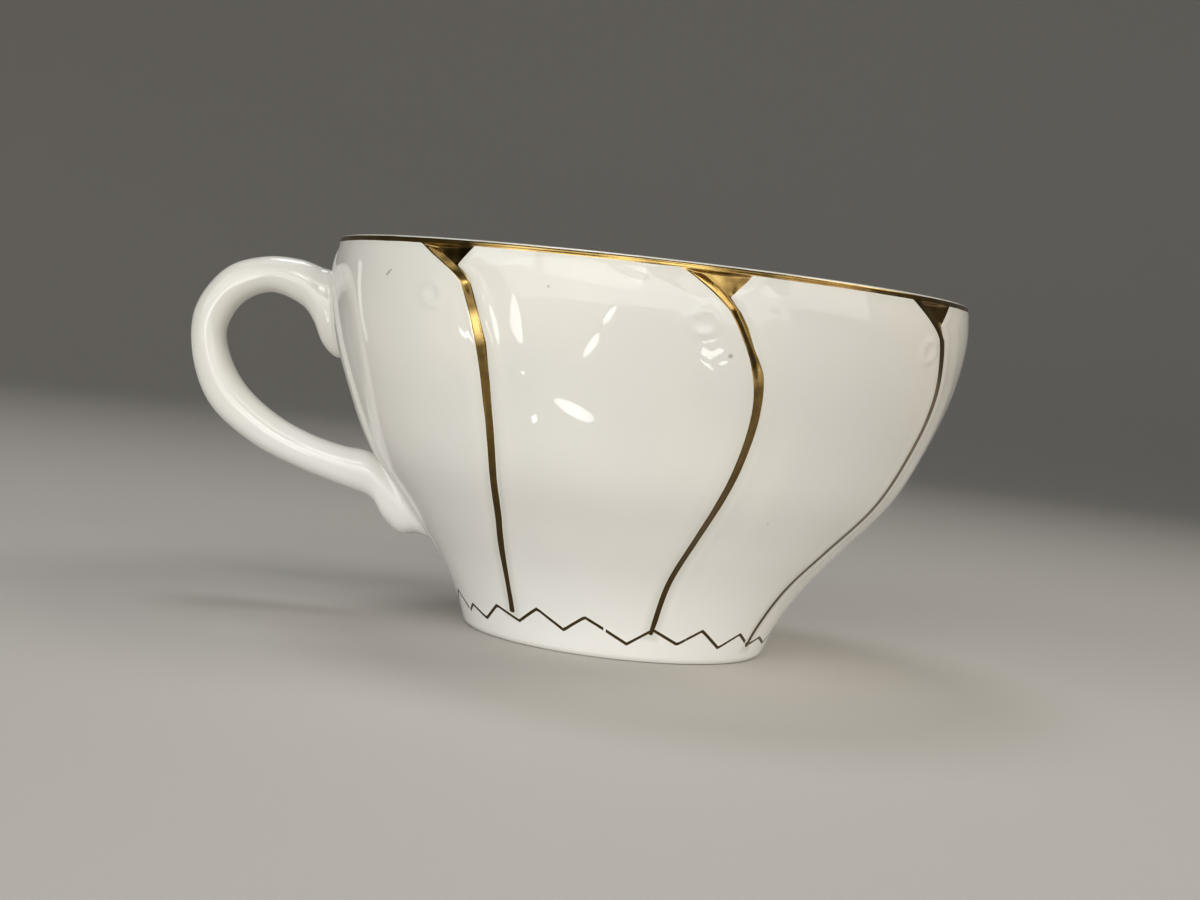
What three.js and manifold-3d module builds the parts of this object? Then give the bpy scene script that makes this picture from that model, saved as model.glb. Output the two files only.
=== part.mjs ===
// Tea cup in glazed porcelain: eight petals overlap round a flared bowl, with a looped handle.
// It stands on its foot ring, +Z is up, and the handle points to -X. Sizes are in millimetres.

import * as THREE from 'three';
import { mergeVertices } from 'three/addons/utils/BufferGeometryUtils.js';
import Module from 'manifold-3d';

// Bowl
const rimRadius = 48;
const cupHeight = 56.2;
const footRadius = 23.1;
const wallThickness = 2.2;
const floorThickness = 2.8;
const bowlRound = 9; // height of the curve from the floor of the bowl to its wall
const lipRound = 0.6;
const rimBand = 0.9; // plain band above the petals
const footRingWidth = 2.4;
const footRecess = 1.8; // depth of the hollow under the foot
const footRound = 0.5;
const recessDraft = 0.8; // how far the hollow narrows upwards

// How far the bowl has opened from foot to rim, by share of the height
const flareShape = [[0, 0], [0.08, 0.07], [0.2, 0.225], [0.32, 0.44], [0.45, 0.675], [0.6, 0.845],
  [0.8, 0.99], [0.92, 1.017], [1, 1]];

// Petals
const petalCount = 8;
const firstSeam = -77.5; // degrees round from -Y towards +X, to the first seam at the rim
const stepDepth = 0.65; // drop from a petal's right edge to the next petal
const proudShare = 0.4; // part of that drop that stands out of the bowl
const faceWidth = 1.05; // width of the sloping face of the step
const ledgeWidth = 0.3;
const lipRise = 0.15; // soft lip along each petal's left edge
const cornerRun = 5.7; // rounded upper right corner of a petal
const cornerDrop = 5;
const cornerPower = 1.5; // 1 cuts the corner straight, more rounds it
const cornerRecess = 0.8;
const recessEdge = 0.3; // height over which the corner recess ends under the rim band
const cutRun = 2.5; // cut upper left corner of a petal
const cutDrop = 2.8;
const petalFoot = 5; // height where the steps die out
const petalFull = 22; // height where they are full

// Degrees that a petal's right edge swings round, by share of the height
const edgeShape = [[0.09, -2.4], [0.22, -0.9], [0.35, 2.3], [0.47, 4.6], [0.62, 5.65], [0.75, 4.7],
  [0.86, 1.9], [0.94, -0.6], [1, -1.6]];
// Degrees that each seam leans at the foot, as the modeller's hand left it
const seamLeans = [-1, -2.5, 2.5, 1, -1.2, 1.6, -0.8, 0.9];
const leanReach = 0.9; // share of the height where the lean is gone
const slopeReach = 0.1; // height over which an edge's own slope is measured

// Small rings on the petals, near their upper right corners
const ringBack = 3.4; // along the rim, back from the seam
const ringDrop = 7.6; // below the rim
const ringRadius = 1.5;
const ringBead = 0.55;
const ringSink = 0.2;

// Handle
const handleReach = 24.5; // from the wall to the outside of the loop
const gripWidth = 6.2;
const rootWidth = 8.4;
const gripPower = 0.5; // the lower, the shorter the widening at each root
const sectionPower = 0.92; // under 1 fills an oval out, over 1 draws it to a ridge
// Its inner and outer lines, as [share of the reach, share of the height]
const innerLine = [[-0.06, 0.667], [0.065, 0.678], [0.126, 0.708], [0.16, 0.767], [0.22, 0.806],
  [0.42, 0.835], [0.608, 0.799], [0.739, 0.722], [0.759, 0.651], [0.714, 0.573], [0.575, 0.502],
  [0.4, 0.459], [0.208, 0.437], [0.073, 0.432], [0, 0.413], [-0.045, 0.365], [-0.09, 0.311],
  [-0.14, 0.24]];
const outerLine = [[-0.16, 0.931], [-0.004, 0.918], [0.078, 0.916], [0.167, 0.927], [0.253, 0.934],
  [0.457, 0.932], [0.702, 0.89], [0.914, 0.774], [1, 0.644], [0.992, 0.512], [0.841, 0.418],
  [0.633, 0.363], [0.404, 0.326], [0.261, 0.302], [0.265, 0.249], [0.212, 0.214], [0.094, 0.219],
  [-0.016, 0.201]];

// Fineness of the facets
const plainColumns = 6; // in a petal, between its edges
const wallRows = 18;
const cornerRows = 5;
const innerRows = 9;
const bowlRows = 4;
const coreColumns = 48;
const handleRows = 34;
const handleColumns = 12;
const beadColumns = 5;
const ringColumns = 10;

const wasm = await Module();
wasm.setup();

function clamp01(value) {
  return Math.min(1, Math.max(0, value));
}

function smooth(value) {
  const t = clamp01(value);
  return t * t * (3 - 2 * t);
}

function radians(degrees) {
  return degrees * Math.PI / 180;
}

// A smooth curve y(x) through [x, y] points, with slopes weighed between neighbours
function curveThrough(points) {
  const last = points.length - 1;
  const run = (i) => points[i + 1][0] - points[i][0];
  const pitch = (i) => (points[i + 1][1] - points[i][1]) / run(i);
  const slopes = points.map((point, i) => {
    if (i === 0) return pitch(0);
    if (i === last) return pitch(last - 1);
    return (pitch(i - 1) * run(i) + pitch(i) * run(i - 1)) / (run(i) + run(i - 1));
  });
  return (x) => {
    const held = Math.min(points[last][0], Math.max(points[0][0], x));
    let i = 0;
    while (i < last - 1 && held > points[i + 1][0]) i += 1;
    const t = (held - points[i][0]) / run(i);
    const rise = points[i + 1][1] - points[i][1];
    const startPull = slopes[i] * run(i) * t * (1 - t) ** 2;
    const endPull = slopes[i + 1] * run(i) * t * t * (t - 1);
    return points[i][1] + rise * smooth(t) + startPull + endPull;
  };
}

const flareAt = curveThrough(flareShape);
const edgeAt = curveThrough(edgeShape);
const petalTop = cupHeight - rimBand;

function bowlRadius(z) {
  return footRadius + (rimRadius - footRadius) * flareAt(z / cupHeight);
}

// Inside of the wall, at a true thickness square to the slope of the bowl
function insideRadius(z, thickness) {
  const slope = (bowlRadius(z + slopeReach) - bowlRadius(z - slopeReach)) / (2 * slopeReach);
  return bowlRadius(z) - thickness * Math.hypot(1, slope);
}

// Angles of one seam at a height: the petal's edge, the foot of the step and the next petal
function seamAngles(seam, z) {
  const height = Math.min(z, petalTop);
  const below = petalTop - height;
  const radius = bowlRadius(height);
  const corner = (drop) => cornerRun * clamp01(1 - drop / cornerDrop) ** cornerPower;
  const share = height / cupHeight;
  const lean = seamLeans[seam % seamLeans.length] * clamp01(1 - share / leanReach) ** 2;
  const top = radians(firstSeam + seam * 360 / petalCount);
  const swing = (drop) => radians(edgeAt((petalTop - drop) / cupHeight)) - corner(drop) / rimRadius;
  const tilt = (swing(below) - swing(below + slopeReach)) * radius / slopeReach;
  const edge = top + radians(lean) + swing(below);
  const foot = edge + faceWidth * Math.hypot(1, tilt) / radius;
  const cut = top + cutRun * (1 - below / cutDrop) / radius;
  return { edge, foot, next: Math.max(foot + ledgeWidth / radius, cut) };
}

// One row of the petalled wall: an angle and a radius for each column
function petalRow(z) {
  const below = petalTop - z;
  const radius = bowlRadius(z);
  const inPetal = below > 0 ? 1 : 0;
  const depth = inPetal * stepDepth * smooth((z - petalFoot) / (petalFull - petalFoot));
  const settled = depth * smooth(below / cornerDrop);
  const cornerShare = inPetal * clamp01(1 - below / cornerDrop);
  const proud = settled * proudShare;
  const sunk = depth * (1 - proudShare) * (1 - cornerShare) + cornerRecess * cornerShare;
  const left = lipRise * settled / stepDepth - settled * (1 - proudShare);
  const row = [];
  for (let seam = 0; seam < petalCount; seam += 1) {
    const here = seamAngles(seam, z);
    const far = seamAngles(seam + 1, z);
    row.push({ angle: here.edge, radius: radius + proud });
    row.push({ angle: here.foot, radius: radius - sunk });
    row.push({ angle: here.next, radius: radius + left });
    for (let column = 1; column <= plainColumns; column += 1) {
      const share = column / (plainColumns + 1);
      row.push({
        angle: here.next + (far.edge - here.next) * share,
        radius: radius + left + (proud - left) * smooth(share),
      });
    }
  }
  return row;
}

// The same columns on a plain circle
function roundRow(z, radius) {
  return petalRow(z).map(({ angle }) => ({ angle, radius }));
}

// Rows up the outside, over the lip, down the bowl to its floor, each with its height
function cupRows() {
  const rows = [];
  const add = (z, row) => rows.push({ z, row });
  const ringInside = footRadius - footRingWidth;
  add(footRecess, roundRow(0, ringInside - recessDraft));
  add(0, roundRow(0, ringInside));
  add(0, roundRow(0, footRadius - footRound));
  const cornerFoot = petalTop - cornerDrop;
  for (let i = 0; i < wallRows; i += 1) {
    const z = footRound + (cornerFoot - footRound) * i / wallRows;
    add(z, petalRow(z));
  }
  for (let i = 0; i < cornerRows; i += 1) {
    const z = cornerFoot + (cornerDrop - recessEdge) * i / (cornerRows - 1);
    add(z, petalRow(z));
  }
  add(petalTop, petalRow(petalTop));
  const lipFoot = cupHeight - lipRound;
  const insideLip = insideRadius(lipFoot, wallThickness);
  const softening = lipRound * (1 - Math.SQRT1_2);
  add(lipFoot, petalRow(lipFoot));
  add(cupHeight - softening, roundRow(cupHeight, rimRadius - softening));
  add(cupHeight, roundRow(cupHeight, rimRadius - lipRound));
  add(cupHeight, roundRow(cupHeight, insideLip + lipRound));
  add(cupHeight - softening, roundRow(cupHeight, insideLip + softening));
  const bowlFloor = footRecess + floorThickness;
  const bowlTop = bowlFloor + bowlRound;
  for (let i = 0; i < innerRows; i += 1) {
    const z = lipFoot + (bowlTop - lipFoot) * i / innerRows;
    add(z, roundRow(cupHeight, insideRadius(z, wallThickness)));
  }
  for (let i = bowlRows; i > 0; i -= 1) {
    const turn = i / bowlRows * Math.PI / 2;
    const z = bowlFloor + bowlRound * (1 - Math.cos(turn));
    add(z, roundRow(cupHeight, insideRadius(z, wallThickness) * Math.sin(turn)));
  }
  return { rows, bottom: footRecess, top: bowlFloor };
}

// A closed surface from rows of points, with a fan onto the axis at each end
function closedSurface(rows, start, end) {
  const count = rows[0].length;
  const positions = [...start];
  rows.forEach((row) => row.forEach((point) => positions.push(...point)));
  positions.push(...end);
  const last = rows.length * count + 1;
  const at = (row, column) => 1 + row * count + column % count;
  const triangles = [];
  for (let column = 0; column < count; column += 1) {
    triangles.push(0, at(0, column + 1), at(0, column));
    for (let row = 0; row < rows.length - 1; row += 1) {
      const [a, b] = [at(row, column), at(row, column + 1)];
      const [c, d] = [at(row + 1, column + 1), at(row + 1, column)];
      triangles.push(a, b, c, a, c, d);
    }
    triangles.push(last, at(rows.length - 1, column), at(rows.length - 1, column + 1));
  }
  const geometry = new THREE.BufferGeometry();
  geometry.setAttribute('position', new THREE.Float32BufferAttribute(positions, 3));
  geometry.setIndex(triangles);
  return geometry;
}

function bowlGeometry() {
  const { rows, bottom, top } = cupRows();
  const points = rows.map(({ z, row }) => row.map(({ angle, radius }) => (
    [radius * Math.sin(angle), -radius * Math.cos(angle), z])));
  return closedSurface(points, [0, 0, bottom], [0, 0, top]);
}

// The space inside the middle of the wall, which the handle's roots stop at
function coreGeometry() {
  const half = wallThickness / 2;
  const points = [new THREE.Vector2(0, footRecess + floorThickness / 2)];
  for (let i = 0; i <= wallRows; i += 1) {
    const z = footRecess + floorThickness / 2 + (cupHeight - footRecess) * i / wallRows;
    points.push(new THREE.Vector2(insideRadius(z, half), z));
  }
  points.push(new THREE.Vector2(0, points.at(-1).y));
  const geometry = new THREE.LatheGeometry(points, coreColumns);
  geometry.rotateX(Math.PI / 2);
  return geometry;
}

function handleLine(points) {
  return new THREE.CatmullRomCurve3(points.map(([reach, share]) => {
    const z = share * cupHeight;
    return new THREE.Vector3(-bowlRadius(z) - reach * handleReach, 0, z);
  }));
}

// Oval sections between the handle's inner and outer lines
function handleGeometry() {
  const inner = handleLine(innerLine);
  const outer = handleLine(outerLine);
  const swell = (value) => Math.sign(value) * Math.abs(value) ** sectionPower;
  const centres = [];
  const rows = [];
  for (let step = 0; step <= handleRows; step += 1) {
    const share = step / handleRows;
    const [inside, outside] = [inner.getPoint(share), outer.getPoint(share)];
    const centre = inside.clone().add(outside).multiplyScalar(0.5);
    const reach = outside.clone().sub(centre);
    const grip = Math.sin(share * Math.PI) ** gripPower;
    const halfWidth = (rootWidth + (gripWidth - rootWidth) * grip) / 2;
    const row = [];
    for (let side = 0; side < handleColumns; side += 1) {
      const turn = side / handleColumns * Math.PI * 2;
      const point = centre.clone().addScaledVector(reach, swell(Math.cos(turn)));
      row.push([point.x, halfWidth * swell(Math.sin(turn)), point.z]);
    }
    centres.push([centre.x, 0, centre.z]);
    rows.push(row);
  }
  return closedSurface(rows, centres[0], centres.at(-1));
}

function ringGeometry(seam) {
  const z = cupHeight - ringDrop;
  const radius = bowlRadius(z) + stepDepth * proudShare - ringSink;
  const angle = radians(firstSeam + seam * 360 / petalCount) - ringBack / rimRadius;
  const ring = new THREE.TorusGeometry(ringRadius, ringBead, beadColumns, ringColumns);
  ring.rotateX(Math.PI / 2);
  ring.rotateZ(angle);
  ring.translate(radius * Math.sin(angle), -radius * Math.cos(angle), z);
  return ring;
}

function solidOf(geometry) {
  const bare = geometry.clone();
  bare.deleteAttribute('normal');
  bare.deleteAttribute('uv');
  const merged = mergeVertices(bare);
  return new wasm.Manifold(new wasm.Mesh({
    numProp: 3,
    vertProperties: new Float32Array(merged.attributes.position.array),
    triVerts: new Uint32Array(merged.index.array),
  }));
}

function geometryOf(solid) {
  const mesh = solid.getMesh();
  const geometry = new THREE.BufferGeometry();
  geometry.setAttribute('position', new THREE.BufferAttribute(mesh.vertProperties, mesh.numProp));
  geometry.setIndex(new THREE.BufferAttribute(mesh.triVerts, 1));
  geometry.computeVertexNormals();
  return geometry;
}

// The cup in one piece, centred under its own length, with its foot on the ground
function cupGeometry() {
  const core = solidOf(coreGeometry());
  let solid = solidOf(bowlGeometry()).add(solidOf(handleGeometry()).subtract(core));
  for (let seam = 0; seam < petalCount; seam += 1) {
    solid = solid.add(solidOf(ringGeometry(seam)));
  }
  const geometry = geometryOf(solid);
  geometry.computeBoundingBox();
  const { min, max } = geometry.boundingBox;
  geometry.translate(-(min.x + max.x) / 2, -(min.y + max.y) / 2, -min.z);
  return geometry;
}

const glazedPorcelain = new THREE.MeshStandardMaterial({
  color: 0xe6e2d6,
  roughness: 0.12,
  metalness: 0,
});

const cup = new THREE.Mesh(cupGeometry(), glazedPorcelain);
cup.name = 'cup';

const teaCup = new THREE.Group();
teaCup.add(cup);

export default teaCup;
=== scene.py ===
import math

import bpy
import numpy as np
from mathutils import Matrix, Vector, kdtree


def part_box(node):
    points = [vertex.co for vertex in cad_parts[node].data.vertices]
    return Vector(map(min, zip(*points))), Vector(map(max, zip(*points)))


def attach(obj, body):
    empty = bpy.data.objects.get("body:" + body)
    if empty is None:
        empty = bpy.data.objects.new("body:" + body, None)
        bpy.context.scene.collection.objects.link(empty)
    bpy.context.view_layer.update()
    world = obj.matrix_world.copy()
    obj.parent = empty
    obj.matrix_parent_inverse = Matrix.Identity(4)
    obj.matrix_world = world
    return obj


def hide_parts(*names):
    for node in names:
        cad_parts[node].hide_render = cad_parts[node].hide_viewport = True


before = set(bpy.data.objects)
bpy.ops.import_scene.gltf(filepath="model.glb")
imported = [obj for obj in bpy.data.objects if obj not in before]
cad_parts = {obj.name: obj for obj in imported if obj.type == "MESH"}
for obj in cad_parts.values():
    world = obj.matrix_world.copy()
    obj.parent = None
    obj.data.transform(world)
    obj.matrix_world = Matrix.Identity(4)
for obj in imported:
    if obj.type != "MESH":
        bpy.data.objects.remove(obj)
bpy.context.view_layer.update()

mm = 0.001  # every size below is in millimetres unless it says otherwise
fullTurn = 2 * math.pi


# Small helpers for numbers, colours and nodes

def clamp01(value):
    return np.clip(value, 0, 1)


def smooth(value):
    t = clamp01(value)
    return t * t * (3 - 2 * t)


def hump(distance, width):
    return np.exp(-(distance / width) ** 2)


def softRamp(value, rounding):  # flat, then rising, with the corner between them rounded
    return (value + np.sqrt(value ** 2 + rounding ** 2)) / 2


def wrapped(angle):
    return (angle + math.pi) % fullTurn - math.pi


def curveThrough(points):
    xs, ys = np.array(points, float).T
    run = np.diff(xs)
    pitch = np.diff(ys) / run
    slopes = np.concatenate([pitch[:1], np.empty(len(xs) - 2), pitch[-1:]])
    slopes[1:-1] = (pitch[:-1] * run[1:] + pitch[1:] * run[:-1]) / (run[1:] + run[:-1])

    def read(x):
        held = np.clip(x, xs[0], xs[-1])
        i = np.clip(np.searchsorted(xs, held, side="right") - 1, 0, len(run) - 1)
        t = (held - xs[i]) / run[i]
        pull = slopes[i] * run[i] * t * (1 - t) ** 2 + slopes[i + 1] * run[i] * t * t * (t - 1)
        return ys[i] + (ys[i + 1] - ys[i]) * smooth(t) + pull

    return read


def hexColour(text):
    shares = [int(text[i:i + 2], 16) / 255 for i in (1, 3, 5)]
    linear = [s / 12.92 if s <= 0.04045 else ((s + 0.055) / 1.055) ** 2.4 for s in shares]
    return (*linear, 1.0)


def addNode(tree, kind, settings=None, links=None):
    node = tree.nodes.new(kind)
    for name, value in (settings or {}).items():
        if isinstance(name, str) and name in node.bl_rna.properties:
            setattr(node, name, value)
        else:
            node.inputs[name].default_value = value
    for socket, source in (links or {}).items():
        tree.links.new(source, node.inputs[socket])
    return node


# The cup's own measures come from the frame: its axis, height, foot and rim

cup = {
    "rimBand": 0.9,  # plain band above the petals
    "lipRound": 0.6,
    "footRound": 0.5,
    "footRingWidth": 2.4,
    "footRecess": 1.8,
    "recessDraft": 0.8,
    "cove": 0.4,  # round between the recess and its wall
    "standing": 0.3,  # round inside the ring that it stands on
    "wall": 2.2,
    "floor": 2.8,
    "bowlRound": 9.0,
    "slopeReach": 0.1,  # height over which slopes are measured
    # outline: (share of the height, share of the way from the foot's radius to the rim's)
    "flare": [(0, 0), (0.08, 0.07), (0.2, 0.225), (0.32, 0.44), (0.45, 0.675), (0.6, 0.845),
              (0.8, 0.99), (0.92, 1.017), (1, 1)],
}


def measureCup():
    low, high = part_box("cup")
    points = np.array([v.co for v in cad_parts["cup"].data.vertices]) / mm
    height = (high.z - low.z) / mm
    near = 0.05  # what lies within this of the ground or the top
    foot = points[points[:, 2] < low.z / mm + near]
    rim = points[points[:, 2] > high.z / mm - near]
    axisX = (foot[:, 0].min() + foot[:, 0].max()) / 2
    axisY = (low.y + high.y) / 2 / mm
    cup["height"] = height
    cup["foot"] = np.hypot(foot[:, 0] - axisX, foot[:, 1] - axisY).max() + cup["footRound"]
    cup["rim"] = np.hypot(rim[:, 0] - axisX, rim[:, 1] - axisY).max() + cup["lipRound"]
    cup["petalTop"] = height - cup["rimBand"]
    return Vector((axisX * mm, axisY * mm, low.z))


axis = measureCup()
print(f"frame read: cup {cup['height']:.2f} mm high, rim radius {cup['rim']:.2f} mm")

flareAt = curveThrough(cup["flare"])


def bowlRadius(z):
    return cup["foot"] + (cup["rim"] - cup["foot"]) * flareAt(z / cup["height"])


def insideRadius(z, thickness):
    reach = cup["slopeReach"]
    slope = (bowlRadius(z + reach) - bowlRadius(z - reach)) / (2 * reach)
    return bowlRadius(z) - thickness * np.hypot(1, slope)


# Camera, level with the upper wall and rolled a little, as the picture was taken

camera = {
    "lens": 54.0,
    "sensor": 36.0,
    "back": 278.455,  # from the cup's axis
    "height": 43.0,
    "turn": 1.05,  # degrees to the left
    "tilt": -3.0,
    "roll": 6.49,
}


def placeCamera():
    data = bpy.data.cameras.new("camera")
    data.lens = camera["lens"]
    data.sensor_width = camera["sensor"]
    data.sensor_fit = "HORIZONTAL"
    data.clip_start = 0.01
    eye = bpy.data.objects.new("camera", data)
    bpy.context.scene.collection.objects.link(eye)
    turn = Matrix.Rotation(math.radians(camera["turn"]), 4, "Z")
    tilt = Matrix.Rotation(math.radians(90 + camera["tilt"]), 4, "X")
    roll = Matrix.Rotation(math.radians(camera["roll"]), 4, "Z")
    spot = Matrix.Translation(axis + Vector((0, -camera["back"], camera["height"])) * mm)
    eye.matrix_world = spot @ turn @ tilt @ roll
    bpy.context.scene.camera = eye


placeCamera()
print("camera placed")

# Petals: eight overlap round the bowl, and each right edge steps down to the next petal

petals = {
    "count": 8,
    "firstSeam": -77.5,  # degrees round from -Y towards +X, at the rim
    "step": 0.65,  # depth of the step at each right edge
    "proud": 0.4,  # share of the step that stands out of the bowl
    "face": 0.9,  # width of its steep face
    "ledge": 0.3,  # width of the rise to the next petal
    "lip": 0.15,  # height of that rise
    "cornerRun": 5.7,  # how far the top right corner is cut back round the rim
    "cornerDrop": 5.0,  # and how far down
    "cornerPower": 1.5,  # how hollow the cut is
    "cornerRecess": 0.8,  # depth of the triangle that it leaves
    "cutRun": 2.5,  # the next petal's top left corner is cut back this far
    "cutDrop": 2.8,
    "foot": 5.0,  # height where the steps die out
    "full": 22.0,  # height where they are full
    # the right edge: (share of the cup's height, degrees)
    "edge": [(0.09, -2.4), (0.22, -0.9), (0.35, 2.3), (0.47, 4.6), (0.62, 5.65), (0.75, 4.7),
             (0.86, 1.9), (0.94, -0.6), (1, -1.6)],
    "leans": [-1, -2.5, 2.5, 1, -1.2, 1.6, -0.8, 0.9],  # degrees at the foot
    "leanReach": 0.9,  # share of the height where the lean has gone
    # further mm that the hand strayed along two edges, by height
    "strays": {
        1: [(8, 0), (16, 0.4), (20, 0.6), (27, 0.5), (35, 0.05), (44, 0.3), (48, 0.7), (52, 0.6), (54, 0)],
        2: [(25, 0), (32, 0.35), (38, 0.6), (42, 0.45), (46, 0.1), (48.5, -0.3), (51.3, -0.65),
            (53, -0.3), (54.5, 0)],
    },
    "rounding": 0.13,  # the glaze softens every edge of the step
    "ledgeRamp": 0.3,  # height over which the corner recess opens under the rim band
    "columns": (7, 5, 50),  # on the face of the step, on its ledge and on the petal
    "crowding": 0.55,  # columns stand closer beside both edges of a petal
    "crowdRight": 0.035,  # and closest on the right, where the ring is
}

# Low modelling on each petal, pressed into the clay: heights and widths
relief = {
    "lipAt": 1.3, "lipWide": 0.7, "lipHigh": 0.09,  # soft lip beside the gilt line
    "ridgeAt": [3.0, 6.6, 6.6, 6.6, 6.6, 6.6, 6.6, 6.6],  # second ridge along each left side
    "ridgeWide": 1.8, "ridgeHigh": 0.07,
    "rollAt": 2.4, "rollWide": 1.0, "rollHigh": 0.07,  # roll along the right edge and its corner
    # small ring pressed in near each top right corner
    "ringBack": 3.4, "ringDrop": 7.6, "ringRadius": 1.5, "ringWide": 0.5, "ringHigh": 0.22,
    "ringDimple": 0.1,
    # slanting fold that starts at the right edge
    "foldLow": (0.0, 35.5), "foldHigh": (9.5, 46.0),  # (back from the edge, height)
    "foldWide": 0.9, "foldHeight": 0.07,
    "foldFadeLow": 0.3, "foldFadeHigh": 0.4,  # shares of the fold over which its ends die out
    "calm": 2.5,  # depth under the rim band over which the modelling sets in
    "waveHigh": 0.03,  # unevenness left by the hand
    "waveFrom": 12.0,  # height over which it sets in above the foot
    "waves": [(3, 0.11, 0.4), (5, 0.07, 2.1), (8, 0.16, 4.4), (13, 0.23, 1.3), (17, 0.05, 5.2),
              (21, 0.3, 3.0)],  # (waves round the cup, turn with height, start)
}

edgeAt = curveThrough(petals["edge"])
leans = np.array(petals["leans"], float)
strayAt = {seam: curveThrough(points) for seam, points in petals["strays"].items()}


def swingAt(below):
    turned = np.radians(edgeAt((cup["petalTop"] - below) / cup["height"]))
    corner = petals["cornerRun"] * clamp01(1 - below / petals["cornerDrop"]) ** petals["cornerPower"]
    return turned - corner / cup["rim"]


def seamAngles(seam, z):
    height = np.minimum(z, cup["petalTop"])
    below = cup["petalTop"] - height
    radius = bowlRadius(height)
    share = height / cup["height"]
    lean = leans[np.mod(seam, petals["count"])] * clamp01(1 - share / petals["leanReach"]) ** 2
    top = np.radians(petals["firstSeam"] + seam * 360 / petals["count"])
    tilt = (swingAt(below) - swingAt(below + cup["slopeReach"])) * radius / cup["slopeReach"]
    stray = sum(at(height) * (np.mod(seam, petals["count"]) == which) for which, at in strayAt.items())
    edge = top + np.radians(lean) + swingAt(below) + stray / radius
    foot = edge + petals["face"] * np.hypot(1, tilt) / radius
    cut = top + petals["cutRun"] * (1 - below / petals["cutDrop"]) / radius
    return edge, foot, np.maximum(foot + petals["ledge"] / radius, cut), tilt


def ringHeight(z, angle, seam, radius):
    middle = cup["height"] - relief["ringDrop"]
    top = np.radians(petals["firstSeam"] + (seam + 1) * 360 / petals["count"])
    away = (angle - top) * radius + relief["ringBack"]
    apart = np.hypot(away, z - middle)
    bead = relief["ringHigh"] * hump(apart - relief["ringRadius"], relief["ringWide"])
    return bead - relief["ringDimple"] * hump(apart, relief["ringRadius"] / 2)


def foldHeight(z, back):
    (startBack, startZ), (endBack, endZ) = relief["foldLow"], relief["foldHigh"]
    runBack, runZ = endBack - startBack, endZ - startZ
    length = math.hypot(runBack, runZ)
    along = ((back - startBack) * runBack + (z - startZ) * runZ) / length ** 2
    across = ((back - startBack) * runZ - (z - startZ) * runBack) / length
    ends = smooth(along / relief["foldFadeLow"]) * smooth((1 - along) / relief["foldFadeHigh"])
    return relief["foldHeight"] * hump(across, relief["foldWide"]) * ends


def handWaves(z, angle):
    total = 0
    for turns, rise, start in relief["waves"]:
        total = total + np.sin(turns * angle + rise * z + start)
    return relief["waveHigh"] * total / math.sqrt(len(relief["waves"]))


def columnPlan():  # the petal that each column is on, its zone there and its share of the way across it
    columns = petals["columns"]
    even = [np.arange(count) / count for count in columns]
    crowding = petals["crowding"]
    even[2] = crowding * smooth(even[2]) + (1 - crowding) * even[2]
    shares = [*even[:2], even[2] + petals["crowdRight"] * np.sin(fullTurn * even[2])]
    zones = np.concatenate([np.full(len(s), zone) for zone, s in enumerate(shares)])
    share = np.concatenate(shares)
    seams = np.repeat(np.arange(petals["count"]), len(share))
    return seams, np.tile(zones, petals["count"]), np.tile(share, petals["count"])


def wallRow(z):
    seams, zones, share = columnPlan()
    edge, foot, left, _ = seamAngles(seams, z)
    farEdge, farFoot, farLeft, farTilt = seamAngles(seams + 1, z)
    onFace = edge + (foot - edge) * share
    onLedge = foot + (left - foot) * share
    angle = np.select([zones == 0, zones == 1], [onFace, onLedge], left + (farEdge - left) * share)
    radius = float(bowlRadius(z))
    below = cup["petalTop"] - z
    depth = petals["step"] * smooth((z - petals["foot"]) / (petals["full"] - petals["foot"]))
    depth = depth * clamp01(below / petals["ledgeRamp"])
    settled = depth * smooth(below / petals["cornerDrop"])
    corner = clamp01(1 - below / petals["cornerDrop"])
    recess = petals["cornerRecess"] * corner * clamp01(below / petals["ledgeRamp"])
    proud = settled * petals["proud"]
    sunk = depth * (1 - petals["proud"]) * (1 - corner) + recess
    low = petals["lip"] * settled / petals["step"] - settled * (1 - petals["proud"])

    def stepProfile(away, width, ledge):  # the drop off a petal's edge and the rise to the next one
        drop = -(proud + sunk) / width
        rise = (low + sunk) / ledge
        soft = petals["rounding"]
        return (drop * softRamp(away, soft) + (rise - drop) * softRamp(away - width, soft)
                - rise * softRamp(away - width - ledge, soft))

    offset = low + (proud - low) * smooth(np.where(zones == 2, share, 0))
    here = stepProfile((angle - edge) * radius, (foot - edge) * radius, (left - foot) * radius)
    there = stepProfile((angle - farEdge) * radius, (farFoot - farEdge) * radius,
                        (farLeft - farFoot) * radius)
    offset = offset + here - (low - proud) + there

    strength = depth / petals["step"]
    onPetal = (zones == 2) * strength
    fromLeft = (angle - left) * radius
    toEdge = (farEdge - angle) * radius
    square = toEdge / np.hypot(1, farTilt)
    calm = smooth(below / relief["calm"])
    offset = offset + onPetal * calm * relief["lipHigh"] * hump(fromLeft - relief["lipAt"], relief["lipWide"])
    ridgeAt = np.array(relief["ridgeAt"])[seams]
    offset = offset + onPetal * calm * relief["ridgeHigh"] * hump(fromLeft - ridgeAt, relief["ridgeWide"])
    offset = offset + onPetal * relief["rollHigh"] * hump(square - relief["rollAt"], relief["rollWide"])
    offset = offset + onPetal * ringHeight(z, angle, seams, radius)
    offset = offset + onPetal * foldHeight(z, toEdge)
    offset = offset + handWaves(z, angle) * calm * smooth(z / relief["waveFrom"])
    return angle, radius + offset


def plainRow(angle, radius):
    return angle, np.full(len(angle), float(radius))


def spread(start, stop, step):
    return np.linspace(start, stop, max(2, math.ceil(abs(stop - start) / step)), endpoint=False)


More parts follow.
